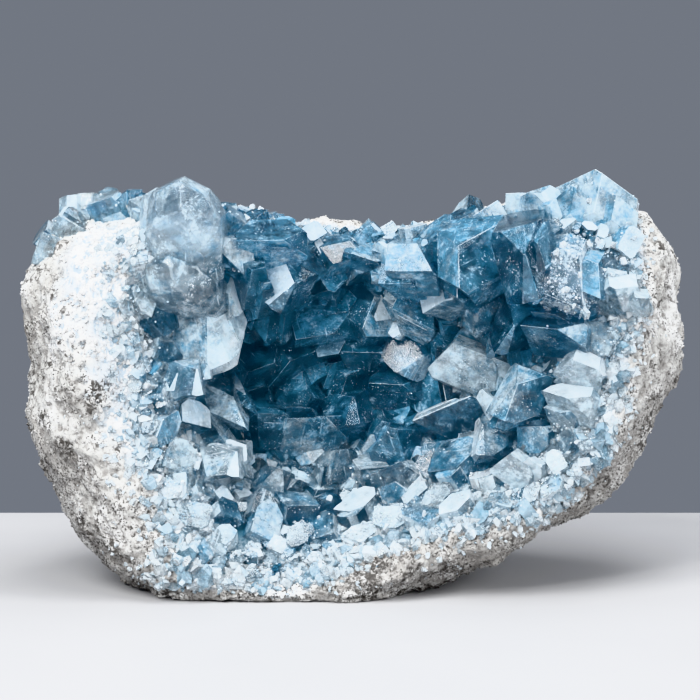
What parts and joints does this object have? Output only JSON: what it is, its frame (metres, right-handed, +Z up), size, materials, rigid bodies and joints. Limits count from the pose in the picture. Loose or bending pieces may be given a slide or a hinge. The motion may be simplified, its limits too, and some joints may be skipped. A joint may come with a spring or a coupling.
{
  "type": "celestite crystal geode",
  "caption": "Free-standing celestite geode: a lumpy pale rock nodule with a flat base, its open hollow lined by one crust of blocky blue crystals.",
  "frame": {"origin": "on the flat base that the nodule stands on, below the middle of its width", "axes": "+Z up, +X to the right along the nodule's width, +Y away from the open side, so the hollow opens towards -Y"},
  "size_m": [0.2625, 0.1425, 0.1655],
  "materials": {
    "pale_rock": "rough granular matrix, white near the crystals and beige with dark specks outside",
    "celestite": "glassy to frosted flat crystal faces, clear blue with white veils"
  },
  "bodies": {
    "root": {"rock_shell": "pale_rock", "crystal_crust": "celestite"}
  },
  "joints": []
}
